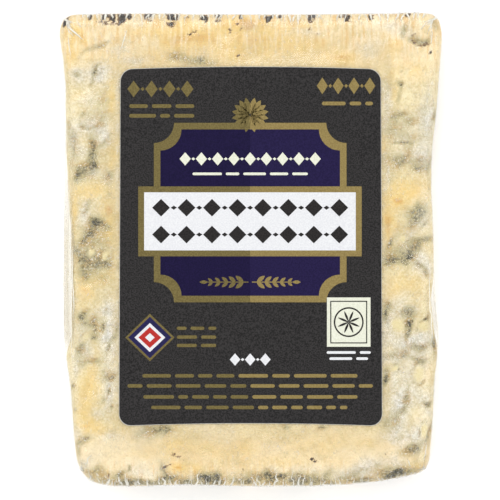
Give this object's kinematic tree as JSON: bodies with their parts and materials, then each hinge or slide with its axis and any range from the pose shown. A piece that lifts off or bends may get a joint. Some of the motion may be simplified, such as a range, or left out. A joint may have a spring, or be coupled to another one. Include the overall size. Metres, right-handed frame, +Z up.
{
  "type": "wrapped portion of blue cheese",
  "caption": "Flat rectangular portion of blue-veined cheese shrunk into clear film, with a dark printed paper label on its face; food to set down, pick up and unwrap.",
  "frame": {"origin": "middle of the footprint, on the surface that the pack lies on", "axes": "+X towards the label's right, +Y towards the label's top, +Z up out of the label; the pack lies on its back"},
  "size_m": [0.0868, 0.1077, 0.0167],
  "materials": {
    "cheese_in_film": "cream curd with grey-green veins under glossy clear film",
    "label_paper": "matt charcoal printed paper with gold, violet and white fields"
  },
  "bodies": {
    "root": {"wrapped_cheese": "cheese_in_film", "label": "label_paper"}
  },
  "joints": []
}
